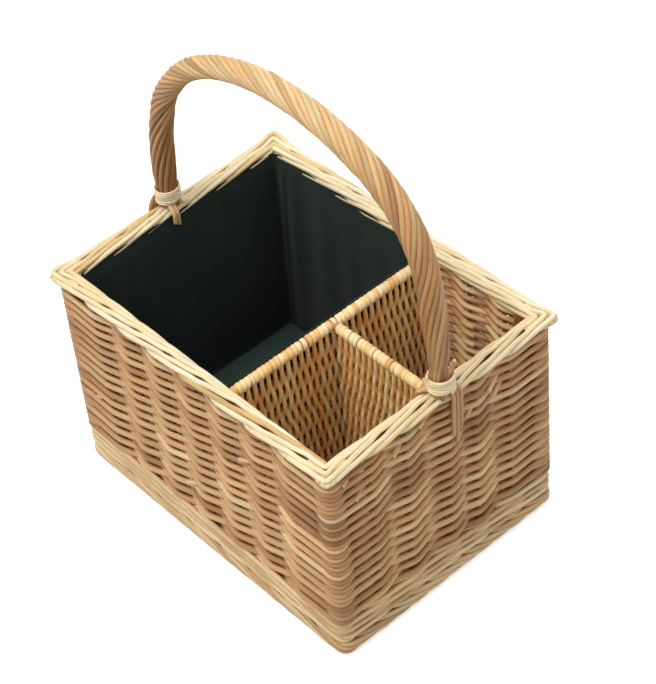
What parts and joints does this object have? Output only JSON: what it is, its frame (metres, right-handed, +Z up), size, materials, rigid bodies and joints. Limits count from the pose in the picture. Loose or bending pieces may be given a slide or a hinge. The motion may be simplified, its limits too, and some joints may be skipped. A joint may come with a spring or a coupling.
{
  "type": "wine bottle basket",
  "caption": "Rectangular willow basket with a fixed bow handle, a cloth-lined compartment and woven dividers that hold wine bottles upright.",
  "frame": {"origin": "centre of the footprint, at the height of the foot band's lower edge, on which the basket stands", "axes": "+X along the long walls, from the lined compartment towards the bottle cells; +Y along the short walls, from front to back; +Z up"},
  "size_m": [0.412, 0.294, 0.5124],
  "materials": {
    "rim_willow": "peeled willow, pale cream, satin",
    "foot_willow": "peeled willow, light buff, satin",
    "wall_willow": "steamed willow, tan with brown streaks, satin",
    "divider_willow": "peeled willow, warm tan, satin",
    "upright_willow": "steamed willow, brown, satin",
    "handle_willow": "willow rods, golden tan, satin",
    "cane_binding": "split cane, pale, satin",
    "green_cloth": "plain woven cotton, very dark green, matt"
  },
  "bodies": {
    "root": {"base_weave": "wall_willow", "base_stick_1": "upright_willow", "base_stick_2": "upright_willow", "base_stick_3": "upright_willow", "base_stick_4": "upright_willow", "base_stick_5": "upright_willow", "foot_wale": "foot_willow", "corner_post_front_left": "upright_willow", "corner_post_front_right": "upright_willow", "corner_post_back_left": "upright_willow", "corner_post_back_right": "upright_willow", "stake_front_1": "upright_willow", "stake_front_2": "upright_willow", "stake_front_3": "upright_willow", "stake_front_4": "upright_willow", "stake_front_5": "upright_willow", "stake_front_6": "upright_willow", "stake_front_7": "upright_willow", "stake_back_1": "upright_willow", "stake_back_2": "upright_willow", "stake_back_3": "upright_willow", "stake_back_4": "upright_willow", "stake_back_5": "upright_willow", "stake_back_6": "upright_willow", "stake_back_7": "upright_willow", "stake_left_1": "upright_willow", "stake_left_2": "upright_willow", "stake_left_3": "upright_willow", "stake_left_4": "upright_willow", "stake_left_5": "upright_willow", "stake_right_1": "upright_willow", "stake_right_2": "upright_willow", "stake_right_3": "upright_willow", "stake_right_4": "upright_willow", "stake_right_5": "upright_willow", "wall_weave_front": "wall_willow", "wall_weave_back": "wall_willow", "wall_weave_left": "wall_willow", "wall_weave_right": "wall_willow", "border_front": "rim_willow", "border_back": "rim_willow", "border_left": "rim_willow", "border_right": "rim_willow", "main_divider_weave": "divider_willow", "main_divider_top_rod": "rim_willow", "small_divider_weave": "divider_willow", "small_divider_top_rod": "rim_willow", "compartment_liner": "green_cloth", "handle_core": "upright_willow", "handle_rod_wrap": "handle_willow", "handle_binding_left": "cane_binding", "handle_binding_right": "cane_binding"}
  },
  "joints": []
}
